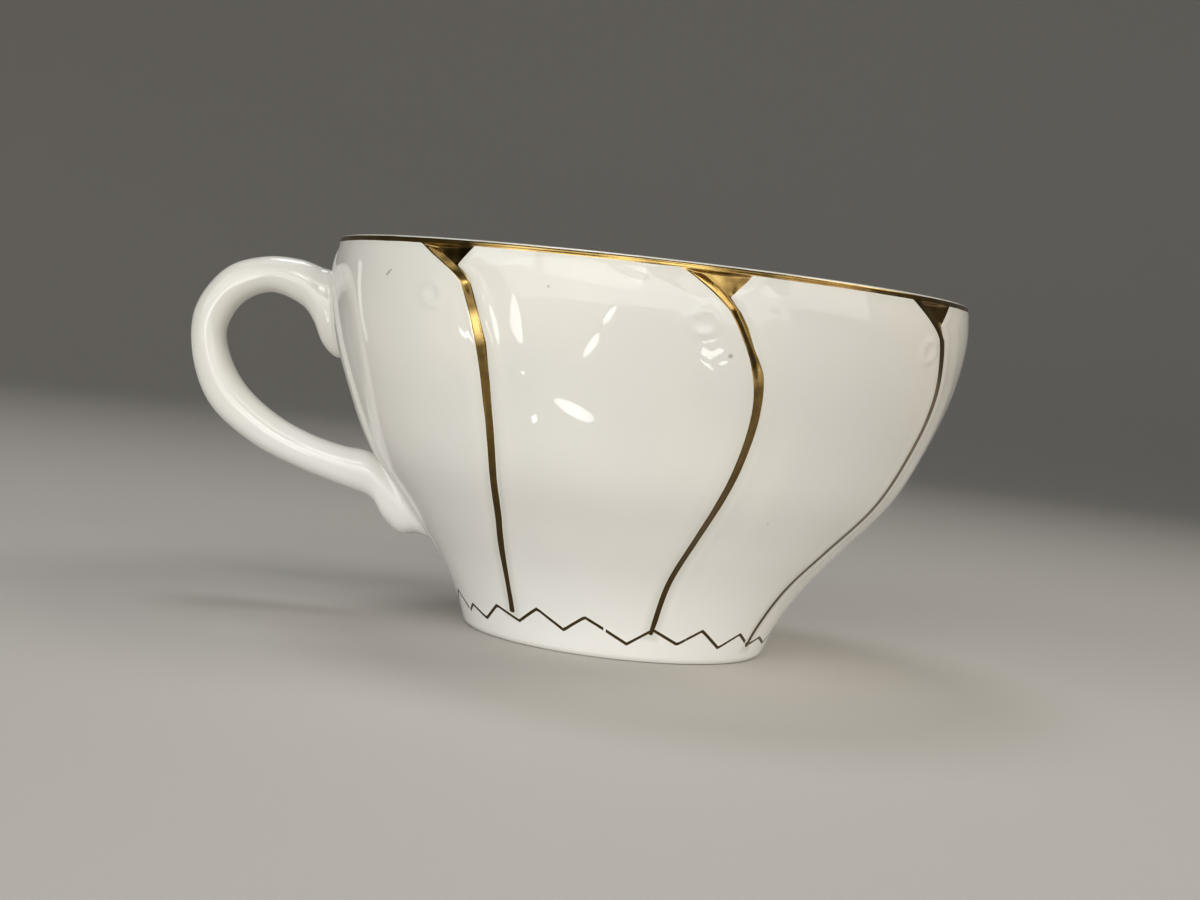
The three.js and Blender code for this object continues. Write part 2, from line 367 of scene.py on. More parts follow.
# Spacing of the rows of points, closest where the modelling is finest
bowlSteps = {
    "recess": [0.3, 0.65, 0.9],  # shares of the way across the recess under the foot
    "draft": [0.4, 0.8],  # shares of the way down its wall
    "rounds": [22.5, 45, 67.5],  # degrees round each small round
    "wall": [(8.0, 0.45), (45.6, 0.9), (51.6, 0.25)],  # (top of a stretch, spacing in it)
    "corners": 0.3,
    "ledge": 0.06,
    "band": 0.12,
    "lip": [0, 12, 24, 36, 48, 60, 75, 90],  # degrees over each side of the lip
    "inside": 1.9,
    "floor": 14,  # rows round the inside's lower bend
}


def bowlRows():
    rows = []
    footAngle, _ = wallRow(0.0)
    rimAngle, _ = wallRow(cup["petalTop"])

    def add(z, row):
        angle, radius = row
        level = np.full(len(angle), float(z))
        rows.append(np.stack([radius * np.sin(angle), -radius * np.cos(angle), level], 1))

    quarter = np.radians(bowlSteps["rounds"])
    recess, standing, cove = cup["footRecess"], cup["standing"], cup["cove"]
    ringInside = cup["foot"] - cup["footRingWidth"]
    recessEdge = ringInside - cup["recessDraft"]
    for share in bowlSteps["recess"]:
        add(recess, plainRow(footAngle, recessEdge * share))
    for turn in quarter:
        radius = recessEdge - cove * (1 - math.sin(turn))
        add(recess - cove * (1 - math.cos(turn)), plainRow(footAngle, radius))
    for share in bowlSteps["draft"]:
        add((recess - cove) * (1 - share), plainRow(footAngle, recessEdge + cup["recessDraft"] * share))
    for turn in quarter:
        radius = ringInside + standing * (1 - math.cos(turn))
        add(standing * (1 - math.sin(turn)), plainRow(footAngle, radius))
    add(0, plainRow(footAngle, ringInside + standing))
    add(0, plainRow(footAngle, cup["foot"] - cup["footRingWidth"] / 2))
    footRound = cup["footRound"]
    for turn in [0, *quarter]:
        radius = cup["foot"] - footRound * (1 - math.sin(turn))
        add(footRound * (1 - math.cos(turn)), plainRow(footAngle, radius))

    top = cup["petalTop"]
    ramp = petals["ledgeRamp"]
    low = footRound
    for high, step in [*bowlSteps["wall"], (top - ramp, bowlSteps["corners"]), (top, bowlSteps["ledge"])]:
        for z in spread(low, high, step):
            add(z, wallRow(z))
        low = high
    lip = cup["lipRound"]
    lipFoot = cup["height"] - lip
    for z in spread(top, lipFoot, bowlSteps["band"]):
        add(z, plainRow(rimAngle, bowlRadius(z)))
    inside = float(insideRadius(lipFoot, cup["wall"]))
    overLip = np.radians(bowlSteps["lip"])
    for turn in overLip:
        add(lipFoot + lip * math.sin(turn), plainRow(rimAngle, cup["rim"] - lip + lip * math.cos(turn)))
    for turn in overLip:
        add(lipFoot + lip * math.cos(turn), plainRow(rimAngle, inside + lip - lip * math.sin(turn)))

    bowlFloor = cup["footRecess"] + cup["floor"]
    bowlTop = bowlFloor + cup["bowlRound"]
    for z in spread(lipFoot, bowlTop, bowlSteps["inside"])[1:]:
        add(z, plainRow(rimAngle, insideRadius(z, cup["wall"])))
    for turn in np.linspace(math.pi / 2, 0, bowlSteps["floor"], endpoint=False):
        z = bowlFloor + cup["bowlRound"] * (1 - math.cos(turn))
        add(z, plainRow(rimAngle, insideRadius(z, cup["wall"]) * math.sin(turn)))
    return np.array(rows), (0, 0, cup["footRecess"]), (0, 0, bowlFloor)


# A closed mesh from rows of points, with a fan at each end

def closedMesh(name, rows, start, end):
    rowCount, count = rows.shape[:2]
    points = np.concatenate([[start], rows.reshape(-1, 3), [end]])
    column = np.arange(count)
    after = (column + 1) % count
    at = lambda row, which: 1 + row * count + which
    faces = [(0, b, a) for a, b in zip(at(0, column), at(0, after))]
    for row in range(rowCount - 1):
        faces += zip(at(row, column), at(row, after), at(row + 1, after), at(row + 1, column))
    last = len(points) - 1
    faces += [(last, a, b) for a, b in zip(at(rowCount - 1, column), at(rowCount - 1, after))]
    mesh = bpy.data.meshes.new(name)
    mesh.from_pydata((points * mm + np.array(axis)).tolist(), [], [tuple(map(int, f)) for f in faces])
    mesh.update()
    piece = bpy.data.objects.new(name, mesh)
    bpy.context.scene.collection.objects.link(piece)
    return piece


# Handle: ovals between an inner and an outer line

handle = {
    "reach": 24.5,  # furthest distance from the bowl
    "grip": 6.2,  # width at the middle
    "root": 8.4,  # width where it joins the bowl
    "gripPower": 0.5,  # how soon it narrows
    "section": 0.92,  # a little squarer than an oval
    "steps": 150,
    "sides": 44,
    # the two lines: (share of the reach, share of the cup's height)
    "inner": [(-0.06, 0.667), (0.065, 0.678), (0.126, 0.708), (0.16, 0.767), (0.22, 0.806),
              (0.42, 0.835), (0.608, 0.799), (0.739, 0.722), (0.759, 0.651), (0.714, 0.573),
              (0.575, 0.502), (0.4, 0.459), (0.208, 0.437), (0.073, 0.432), (0, 0.413),
              (-0.045, 0.365), (-0.09, 0.311), (-0.14, 0.24)],
    "outer": [(-0.16, 0.931), (-0.004, 0.918), (0.078, 0.916), (0.167, 0.927), (0.253, 0.934),
              (0.457, 0.932), (0.702, 0.89), (0.914, 0.774), (1, 0.644), (0.992, 0.512),
              (0.841, 0.418), (0.633, 0.363), (0.404, 0.326), (0.261, 0.302), (0.265, 0.249),
              (0.212, 0.214), (0.094, 0.219), (-0.016, 0.201)],
    "coreRows": 40,  # the core cuts off what would stand inside the bowl
    "coreSides": 144,
    "coreOver": 1.0,
    "jointReach": 1.5,  # the joints are luted with slip, so a small cove runs round each root
    "jointPasses": 24,
    "jointEase": 0.7,  # how far each pass moves a point towards its neighbours' middle
    "jointSide": 0.8,  # only what lies beyond this share of the foot's radius is looked at
    "sameSpot": 0.001,
}


def handleLine(shares):
    points = []
    for reach, share in shares:
        z = share * cup["height"]
        points.append((-float(bowlRadius(z)) - reach * handle["reach"], z))
    points = np.array(points)
    full = np.concatenate([[2 * points[0] - points[1]], points, [2 * points[-1] - points[-2]]])
    spans = np.sqrt(np.linalg.norm(np.diff(full, axis=0), axis=1))[:, None]
    place = np.linspace(0, len(points) - 1, handle["steps"] + 1)
    i = np.minimum(place.astype(int), len(points) - 2)
    t = (place - i)[:, None]
    before, here, after, beyond = full[i], full[i + 1], full[i + 2], full[i + 3]
    d0, d1, d2 = spans[i], spans[i + 1], spans[i + 2]
    leave = ((here - before) / d0 - (after - before) / (d0 + d1) + (after - here) / d1) * d1
    reach = ((after - here) / d1 - (beyond - here) / (d1 + d2) + (beyond - after) / d2) * d1
    pull = leave * t * (1 - t) ** 2 + reach * t * t * (t - 1)
    return here + (after - here) * smooth(t) + pull


def handleRows():
    inner, outer = handleLine(handle["inner"]), handleLine(handle["outer"])
    middle = (inner + outer) / 2
    reach = outer - middle
    along = np.linspace(0, 1, handle["steps"] + 1)
    grip = np.abs(np.sin(along * math.pi)) ** handle["gripPower"]
    half = (handle["root"] + (handle["grip"] - handle["root"]) * grip) / 2
    turn = np.arange(handle["sides"]) / handle["sides"] * fullTurn
    swell = lambda value: np.sign(value) * np.abs(value) ** handle["section"]
    rows = np.empty((len(along), len(turn), 3))
    rows[:, :, 0] = middle[:, :1] + reach[:, :1] * swell(np.cos(turn))
    rows[:, :, 1] = half[:, None] * swell(np.sin(turn))
    rows[:, :, 2] = middle[:, 1:] + reach[:, 1:] * swell(np.cos(turn))
    ends = [(middle[k, 0], 0, middle[k, 1]) for k in (0, -1)]
    return rows, *ends


def coreRows():
    low = cup["footRecess"] + cup["floor"] / 2
    over = handle["coreOver"]
    heights = np.linspace(low, cup["height"] + over, handle["coreRows"])
    turn = np.arange(handle["coreSides"]) / handle["coreSides"] * fullTurn
    rows = []
    for z in heights:
        radius = float(insideRadius(min(z, cup["height"] - over), cup["wall"] / 2))
        rows.append(np.stack([radius * np.sin(turn), -radius * np.cos(turn), np.full(len(turn), z)], 1))
    return np.array(rows), (0, 0, low), (0, 0, heights[-1])


def applyBoolean(piece, other, operation):
    change = piece.modifiers.new(operation, "BOOLEAN")
    change.operation = operation
    change.solver = "MANIFOLD"
    change.object = other
    shaped = bpy.data.meshes.new_from_object(piece.evaluated_get(bpy.context.evaluated_depsgraph_get()))
    piece.modifiers.clear()
    piece.data = shaped
    bpy.data.objects.remove(other)


def edgePairs(mesh):
    pairs = np.empty(len(mesh.edges) * 2, np.int32)
    mesh.edges.foreach_get("vertices", pairs)
    return pairs.reshape(-1, 2)


def pointsOf(mesh):
    points = np.empty(len(mesh.vertices) * 3)
    mesh.vertices.foreach_get("co", points)
    return (points.reshape(-1, 3) - np.array(axis)) / mm


def softenJoints(piece, wasHandle):
    mesh = piece.data
    points = pointsOf(mesh)
    pairs = edgePairs(mesh)
    tree = kdtree.KDTree(len(wasHandle))
    for index, point in enumerate(wasHandle):
        tree.insert(point, index)
    tree.balance()
    near = np.where(points[:, 0] < -cup["foot"] * handle["jointSide"])[0]
    onHandle = np.zeros(len(points), bool)
    for index in near:
        onHandle[index] = tree.find(points[index])[2] < handle["sameSpot"]
    crossing = pairs[onHandle[pairs[:, 0]] != onHandle[pairs[:, 1]]].ravel()
    seam = points[np.unique(crossing[~onHandle[crossing]])]
    joints = kdtree.KDTree(len(seam))
    for index, point in enumerate(seam):
        joints.insert(point, index)
    joints.balance()
    weight = np.zeros(len(points))
    for index in near:
        weight[index] = smooth(1 - joints.find(points[index])[2] / handle["jointReach"])
    degree = np.bincount(pairs.ravel(), minlength=len(points))[:, None]
    for _ in range(handle["jointPasses"]):
        total = np.zeros_like(points)
        np.add.at(total, pairs[:, 0], points[pairs[:, 1]])
        np.add.at(total, pairs[:, 1], points[pairs[:, 0]])
        points += (total / degree - points) * weight[:, None] * handle["jointEase"]
    mesh.vertices.foreach_set("co", (points * mm + np.array(axis)).ravel())
    mesh.update()
    print(f"handle joints softened over {int((weight > 0).sum())} points")


# Gilding: a painted line down every step but the one beside the handle, a rim line and a zigzag

gilding = {
    "bareSeam": 0,
    "over": [0.12, 0.12, 0.12, 1.6, 0.3, 0.2, 0.4, 0.2],  # how far each line laps over its petal's edge
    "overLow": 0.3,  # share of that where the step has died out
    # how far three lines run right of that edge, by height; the hand varied it
    "widths": {
        1: [(5, 0.85), (12, 0.72), (25, 0.7), (35, 0.85), (40, 1.0), (43, 1.35), (46, 1.1), (51, 1.2)],
        2: [(4, 0.5), (6.5, 0.75), (16, 0.9), (25, 1.1), (38, 1.3), (43, 1.6), (46, 1.2), (48.5, 1.45)],
        3: [(3, 0.3), (10, 0.5), (20, 0.85), (30, 1.25), (45, 1.4)],
    },
    "widthsBehind": [(4, 0.7), (12, 0.85), (25, 1.15), (45, 1.35)],  # the same for every other line
    "ends": [4.4, 4.7, 4.3, 2.6, 4.5, 4.2, 4.6, 4.4],  # lowest height of each line
    "cornerBlend": 2.4,  # height over which the line spreads to fill the corner recess
    "rimTop": 0.22,  # bare lip above the rim line
    "rimLap": 0.1,  # how far the lines run into the rim line
    "stroke": 0.42,  # width of the zigzag
    "zigzag": [(-62, 3), (-58.5, 4.2), (-50.3, 2.7), (-42.9, 5.2), (-33.5, 3.6), (-25.7, 6), (-16.5, 3.5),
               (-9.3, 5.9), (5.3, 2.6), (13.1, 5.1), (22.7, 3.1), (30.5, 5.4), (39.9, 2.7), (48, 4.8),
               (55.5, 2.9), (62.4, 3.9), (70, 2.7)],  # (degrees, height) of its seen turns
    "teethBehind": 13,  # unseen teeth that close the zigzag
    "toothLow": 2.8,
    "toothHigh": 5.2,
    "toothStray": 0.4,  # mm and degrees that the unseen teeth are uneven by
    "toothBeat": 2.3,
    "gaps": [-62.5, -2.6, 53.8],  # degrees where the brush was lifted
    "gapFrom": 0.14,  # the gold starts between these distances from the middle of a gap
    "gapTo": 0.22,
    "areaLimit": 2.0,  # distances from the paint are kept within these
    "lineLimit": 3.0,
}


def zigzagLine():
    turns = list(gilding["zigzag"])
    start = turns[-1][0]
    pitch = (360 + turns[0][0] - start) / gilding["teethBehind"]
    for tooth in range(gilding["teethBehind"]):
        uneven = math.sin(tooth * gilding["toothBeat"]) * gilding["toothStray"]
        turns.append((start + pitch * (tooth + 0.5) + uneven, gilding["toothHigh"] + uneven))
        turns.append((start + pitch * (tooth + 1), gilding["toothLow"] + uneven / 2))
    turns[-1] = (360 + turns[0][0], turns[0][1])
    return np.array(turns)


def paintGilding(mesh):
    points = pointsOf(mesh)
    x, y, z = points.T
    far = np.hypot(x, y)
    angle = np.arctan2(x, -y)
    radius = bowlRadius(z)
    outside = far - (radius - cup["wall"] / 2)
    farArea, farLine = gilding["areaLimit"], gilding["lineLimit"]
    area = np.full(len(points), -farArea)
    below = cup["petalTop"] - z
    for seam in range(petals["count"]):
        if seam == gilding["bareSeam"]:
            continue
        edge, _, left, _ = seamAngles(seam, z)
        across = wrapped(angle - edge) * radius
        full = (left - edge) * radius
        cornerShare = smooth((petals["cornerDrop"] - below) / gilding["cornerBlend"])
        run = gilding["widths"].get(seam, gilding["widthsBehind"])
        right = np.interp(z, *np.transpose(run)) * (1 - cornerShare) + full * cornerShare
        stepped = smooth((z - petals["foot"]) / (petals["full"] - petals["foot"]))
        over = gilding["over"][seam] * (gilding["overLow"] + (1 - gilding["overLow"]) * stepped)
        line = np.minimum(across + over, right - across)
        line = np.minimum(line, z - gilding["ends"][seam])
        line = np.minimum(line, cup["petalTop"] + gilding["rimLap"] - z)
        area = np.maximum(area, line)
    band = np.minimum(z - cup["petalTop"], cup["height"] - gilding["rimTop"] - z)
    area = np.maximum(area, band)
    turns = zigzagLine()
    degrees = (np.degrees(angle) - turns[0, 0]) % 360 + turns[0, 0]
    height = np.interp(degrees, *turns.T)
    piece = np.clip(np.searchsorted(turns[:, 0], degrees, side="right") - 1, 0, len(turns) - 2)
    rise = (turns[piece + 1, 1] - turns[piece, 1]) / (turns[piece + 1, 0] - turns[piece, 0])
    zigzag = (z - height) / np.hypot(1, np.degrees(rise) / radius)
    gapArc = [wrapped(angle - math.radians(g)) * radius for g in gilding["gaps"]]
    nearest = np.argmin(np.abs(gapArc), axis=0)
    gap = np.take_along_axis(np.array(gapArc), nearest[None], 0)[0]
    area = np.where(outside > 0, np.clip(area, -farArea, farArea), -farArea)
    zigzag = np.where(outside > 0, np.clip(zigzag, -farLine, farLine), farLine)
    gap = np.clip(gap, -farLine, farLine)
    for name, values in {"gilt": area, "zigzag": zigzag, "gap": gap}.items():
        layer = mesh.attributes.new(name, "FLOAT", "POINT")
        layer.data.foreach_set("value", values.astype(np.float32))


def buildCup():
    petalCup = closedMesh("petalCup", *bowlRows())
    print(f"bowl made: {len(petalCup.data.polygons)} faces")
    loop = closedMesh("loop", *handleRows())
    applyBoolean(loop, closedMesh("core", *coreRows()), "DIFFERENCE")
    wasHandle = pointsOf(loop.data)
    applyBoolean(petalCup, loop, "UNION")
    petalCup.data.name = "petalCup"
    softenJoints(petalCup, wasHandle)
    paintGilding(petalCup.data)
    petalCup.data.polygons.foreach_set("use_smooth", [True] * len(petalCup.data.polygons))
    triangles = sum(len(face.vertices) - 2 for face in petalCup.data.polygons)
    print(f"cup joined: {triangles} triangles")
    return petalCup


# Glazed porcelain with burnished gilding. The body is slip-cast, and a clear glaze over it reads as
# a warm ivory white with a hard, wet shine and slightly wavy reflections. The gold is brushed on,
# fired and rubbed up with agate, so it mirrors its surroundings darkly and flashes where light falls.

porcelain = {
    "body": "#dfdcd1",
    "bodyCool": "#d9d7cf",
    "bodyPaintedLight": "#fbfaf5",  # painted light: the body whitens towards the foot to make up for the lower wall getting less light
    "towardFootFrom": 46.0,  # height where it begins to whiten
    "stepShade": "#d6d5c9",  # painted shade: the body greys beside every gold line and the rim line
    "stepShadeFrom": -1.4,  # distance from the gold where it begins, and where it is full
    "stepShadeTo": -0.1,
    "stepShadeShare": 0.55,
    "bisque": "#d9d2c4",  # bare clay under the foot ring
    "glazeRough": 0.03,  # fired glass is almost a mirror
    "bisqueRough": 0.65,
    "cloud": 22.0,  # size of the colour's drift
    "cloudEdges": (0.35, 0.65),
    "peel": 2.0,  # spacing of the ripples in the glaze
    "peelDepth": 0.005,
    "bareFull": 0.112,  # no glaze below this height, and full glaze above the next
    "bareBelow": 0.16,
    "speck": "#5c5443",  # iron specks fired into the body
    "speckShare": 0.7,
    # degrees, height and size of each
    "specks": [(-48.1, 50.7, 0.15), (-47.6, 51.0, 0.17), (-47.1, 51.3, 0.12), (-15.9, 51.0, 0.2),
               (13.3, 44.8, 0.26), (31.0, 22.5, 0.14), (151.0, 31.0, 0.2), (228.0, 18.0, 0.18)],
}
gilt = {
    "gold": "#947944",
    "worn": "#725a33",
    "wear": 3.0,  # size of the worn patches
    "wearEdges": (0.4, 0.75),
    "towardFoot": "#5c4c2e",  # the lines darken towards the foot
    "towardFootFrom": 46.0,
    "towardFootTo": 12.0,
    "highlightTint": "#dcba72",
    # painted highlights and painted dark reflections on the gold: degrees, height, size and share of each
    "paintedHighlights": [(-20.0, 55.6, 2.6, 0.5), (-12.5, 55.6, 2.6, 0.55), (18.5, 42.4, 0.9, 0.85),
               (-27.9, 45.6, 1.0, 0.8), (-27.3, 43.9, 0.9, 0.8), (-30.6, 50.9, 0.5, 0.6),
               (-5.0, 55.6, 2.6, 0.6), (4.5, 55.6, 2.6, 0.6), (9.5, 54.4, 0.8, 0.5), (20.5, 55.6, 1.2, 0.4)],
    # painted reflection: dark gold where the corner recesses and line tops mirror dark surroundings
    "darkReflectionTint": "#2c2311",
    "paintedDarkReflections": [(-29.3, 48.4, 1.4, 0.7), (-31.3, 54.4, 1.2, 0.85), (-34.6, 54.1, 0.9, 0.8),
              (11.8, 52.9, 0.7, 0.6), (14.0, 54.4, 0.5, 0.4)],
    "spotProud": 0.1,  # the middle of a spot lies this far outside the plain bowl
    "spotCore": 0.5,  # shares of a spot's size where it is full and where it has gone
    "spotFade": 2.0,
    "rough": 0.14,
    "roughSpread": 0.1,  # the agate leaves some marks duller
    "brush": 0.8,  # width of the marks left by the brush
    "brushEdges": (0.3, 0.7),
    "brushDepth": 0.0015,
    "grain": (3.0, 0.6),  # detail and roughness of the marks and of the wear
    "edgeWaver": 0.05,  # how far the painted edge strays
    "waver": 4.0,  # distance over which it strays
    "edgeSoft": 0.03,
    # beads of thick gold: degrees, height, size and depth of each
    "drops": [(18.6, 42.6, 0.8, 0.09), (18.8, 41.2, 0.4, 0.05), (-27.2, 27.3, 0.4, 0.05)],
}


def porcelainWithGilding():
    material = bpy.data.materials.new("glazedPorcelain")
    material.use_nodes = True
    tree = material.node_tree
    tree.nodes.clear()
    place = addNode(tree, "ShaderNodeTexCoord").outputs["Object"]

    def noise(size, detail=2.0, roughness=0.5):
        settings = {"Scale": 1 / (size * mm), "Detail": detail, "Roughness": roughness}
        return addNode(tree, "ShaderNodeTexNoise", settings, {"Vector": place}).outputs["Fac"]

    def number(operation, first, second):
        settings = {"operation": operation}
        links = {}
        for index, value in enumerate((first, second)):
            (settings if isinstance(value, (int, float)) else links)[index] = value
        return addNode(tree, "ShaderNodeMath", settings, links).outputs[0]

    def rampTo(value, low, high, start=0.0, end=1.0):
        settings = {"interpolation_type": "SMOOTHSTEP", "From Min": low, "From Max": high,
                    "To Min": start, "To Max": end}
        return addNode(tree, "ShaderNodeMapRange", settings, {"Value": value}).outputs["Result"]

    def blend(share, first, second):
        settings = {"data_type": "RGBA"}
        links = {"Factor": share}
        for index, value in ((6, first), (7, second)):
            (settings if isinstance(value, tuple) else links)[index] = value
        return addNode(tree, "ShaderNodeMix", settings, links).outputs[2]

    def spotAt(degrees, z, size, strength):
        turn = math.radians(degrees)
        radius = float(bowlRadius(z)) + gilt["spotProud"]
        centre = axis + Vector((radius * math.sin(turn), -radius * math.cos(turn), z)) * mm
        away = addNode(tree, "ShaderNodeVectorMath", {"operation": "DISTANCE", 1: centre}, {0: place})
        return rampTo(away.outputs["Value"], size * gilt["spotCore"] * mm, size * gilt["spotFade"] * mm,
                      strength, 0.0)

    painted = {name: addNode(tree, "ShaderNodeAttribute", {"attribute_name": name}).outputs["Fac"]
               for name in ("gilt", "zigzag", "gap")}
    waver = number("MULTIPLY", number("SUBTRACT", noise(gilt["waver"], 1.0), 0.5), 2 * gilt["edgeWaver"])
    soft = gilt["edgeSoft"]
    area = rampTo(number("ADD", painted["gilt"], waver), -soft, soft)
    offLine = number("ABSOLUTE", number("ADD", painted["zigzag"], waver), 0.0)
    half = gilding["stroke"] / 2
    line = rampTo(offLine, half - soft, half + soft, 1.0, 0.0)
    lifted = rampTo(number("ABSOLUTE", painted["gap"], 0.0), gilding["gapFrom"], gilding["gapTo"])
    goldShare = number("MAXIMUM", area, number("MULTIPLY", line, lifted))

    body = blend(rampTo(noise(porcelain["cloud"], 1.0), *porcelain["cloudEdges"]),
                 hexColour(porcelain["body"]), hexColour(porcelain["bodyCool"]))
    heightOf = addNode(tree, "ShaderNodeSeparateXYZ", links={"Vector": place}).outputs["Z"]
    # painted light: the body is whiter towards the foot and darker at the top, standing in for how the light
    # falls
    towardFoot = rampTo(heightOf, 0.0, porcelain["towardFootFrom"] * mm, 1.0, 0.0)
    body = blend(towardFoot, body, hexColour(porcelain["bodyPaintedLight"]))
    # painted shade: the body greys beside the gold, where the steps and corners sink in
    stepShade = rampTo(painted["gilt"], porcelain["stepShadeFrom"], porcelain["stepShadeTo"], 0.0,
                    porcelain["stepShadeShare"])
    body = blend(stepShade, body, hexColour(porcelain["stepShade"]))
    for degrees, z, size in porcelain["specks"]:
        speck = spotAt(degrees, z, size, porcelain["speckShare"])
        body = blend(speck, body, hexColour(porcelain["speck"]))
    bare = rampTo(heightOf, porcelain["bareFull"] * mm, porcelain["bareBelow"] * mm, 1.0, 0.0)
    body = blend(bare, body, hexColour(porcelain["bisque"]))
    brushed = noise(gilt["brush"], *gilt["grain"])
    worn = rampTo(noise(gilt["wear"], *gilt["grain"]), *gilt["wearEdges"])
    gold = blend(worn, hexColour(gilt["gold"]), hexColour(gilt["worn"]))
    # the gold darkens towards the foot
    goldTowardFoot = rampTo(heightOf, gilt["towardFootTo"] * mm, gilt["towardFootFrom"] * mm, 1.0, 0.0)
    gold = blend(goldTowardFoot, gold, hexColour(gilt["towardFoot"]))
    # paint the bright highlights and the dark reflections onto the gold at the listed spots
    for tint, patches in (("highlightTint", gilt["paintedHighlights"]), ("darkReflectionTint", gilt["paintedDarkReflections"])):
        for degrees, z, size, share in patches:
            gold = blend(spotAt(degrees, z, size, share), gold, hexColour(gilt[tint]))
    colour = blend(goldShare, body, gold)

    glazeRough = rampTo(bare, 0.0, 1.0, porcelain["glazeRough"], porcelain["bisqueRough"])
    giltRough = rampTo(brushed, *gilt["brushEdges"], gilt["rough"], gilt["rough"] + gilt["roughSpread"])
    rough = addNode(tree, "ShaderNodeMix", {"data_type": "FLOAT"},
                    {"Factor": goldShare, 2: glazeRough, 3: giltRough}).outputs[0]
    ripple = number("MULTIPLY", noise(porcelain["peel"], 1.0), porcelain["peelDepth"] * mm)
    marks = number("MULTIPLY", number("MULTIPLY", brushed, goldShare), gilt["brushDepth"] * mm)
    for degrees, z, size, height in gilt["drops"]:
        marks = number("ADD", marks, number("MULTIPLY", spotAt(degrees, z, size, height * mm), goldShare))
    bump = addNode(tree, "ShaderNodeBump", {"Strength": 1.0, "Distance": 1.0},
                   {"Height": number("ADD", ripple, marks)}).outputs["Normal"]
    shader = addNode(tree, "ShaderNodeBsdfPrincipled", {},
                     {"Base Color": colour, "Metallic": goldShare, "Roughness": rough, "Normal": bump})
    addNode(tree, "ShaderNodeOutputMaterial", links={"Surface": shader.outputs["BSDF"]})
    return material


petalCup = buildCup()
petalCup.data.materials.clear()
petalCup.data.materials.append(porcelainWithGilding())
print("cup glazed and gilded")

# Stage: a pale sweep all round, and soft light

stage = {
    "colour": "#bfbbb4",
    "rough": 0.75,
    "flat": 620.0,  # radius of the level part
    "bend": 500.0,  # radius of the turn up into the wall
    "wall": 500.0,
    "sides": 128,
    "rings": 12,  # in the level part, the first with the next radius
    "innerRing": 30.0,
    "bendSteps": 24,
}


def sweep():
    rows = []
    turn = np.arange(stage["sides"]) / stage["sides"] * fullTurn
    profile = [(radius, 0.0) for radius in np.linspace(stage["innerRing"], stage["flat"], stage["rings"])]
    sweepRound = stage["bend"]
    for bend in np.linspace(0, math.pi / 2, stage["bendSteps"])[1:]:
        profile.append((stage["flat"] + sweepRound * math.sin(bend), sweepRound * (1 - math.cos(bend))))
    profile.append((profile[-1][0], stage["bend"] + stage["wall"]))
    for radius, z in profile:
        rows.append([(radius * math.sin(t), -radius * math.cos(t), z) for t in turn])
    points = [(0, 0, 0)] + [point for row in rows for point in row]
    count = len(turn)
    at = lambda row, column: 1 + row * count + column % count
    faces = [(0, at(0, c), at(0, c + 1)) for c in range(count)]
    for row in range(len(rows) - 1):
        faces += [(at(row, c), at(row + 1, c), at(row + 1, c + 1), at(row, c + 1)) for c in range(count)]
    mesh = bpy.data.meshes.new("sweep")
    mesh.from_pydata([tuple(axis + Vector(p) * mm) for p in points], [], faces)
    mesh.polygons.foreach_set("use_smooth", [True] * len(mesh.polygons))
    floor = bpy.data.objects.new("sweep", mesh)
    bpy.context.scene.collection.objects.link(floor)
    # Matt background paper: uncoated, so it gives the eye a soft, even tone with no shine
    material = bpy.data.materials.new("mattPaper")
    material.use_nodes = True
    shader = material.node_tree.nodes["Principled BSDF"]
    shader.inputs["Base Color"].default_value = hexColour(stage["colour"])
    shader.inputs["Roughness"].default_value = stage["rough"]
    mesh.materials.append(material)
    return floor


# Large soft lights that no camera sees: place and size in mm from the cup's axis, glow as brightness
# from the front, beam in degrees
softboxes = {
    "frontLeft": {"place": (-320, -800, 360), "size": (510, 500), "glow": 1.6, "beam": 140,
                  "colour": "#fffdf6"},
    "frontRight": {"place": (385, -800, 360), "size": (420, 500), "glow": 1.5, "beam": 140,
                   "colour": "#fffdf6"},
    "lowFill": {"place": (-20, -390, 77), "size": (920, 150), "glow": 2.25, "beam": 140,
                "colour": "#fbfbff"},
    "leftWindow": {"place": (-580, -440, 350), "size": (340, 420), "glow": 2.7, "beam": 110,
                   "colour": "#f6f8ff"},
    "rightWindow": {"place": (620, -330, 290), "size": (400, 480), "glow": 1.7, "beam": 110,
                    "colour": "#fff6f0"},
    "highWindow": {"place": (30, -330, 320), "size": (280, 80), "glow": 3.2, "beam": 110,
                   "colour": "#fffdf6"},
    "skylight": {"place": (475, 84, 575), "size": (360, 360), "glow": 4.6, "beam": 110,
                 "colour": "#fffaf0"},
    "backSkylight": {"place": (-120, 260, 700), "size": (240, 240), "glow": 6.5, "beam": 110,
                     "colour": "#f6f8ff"},
}

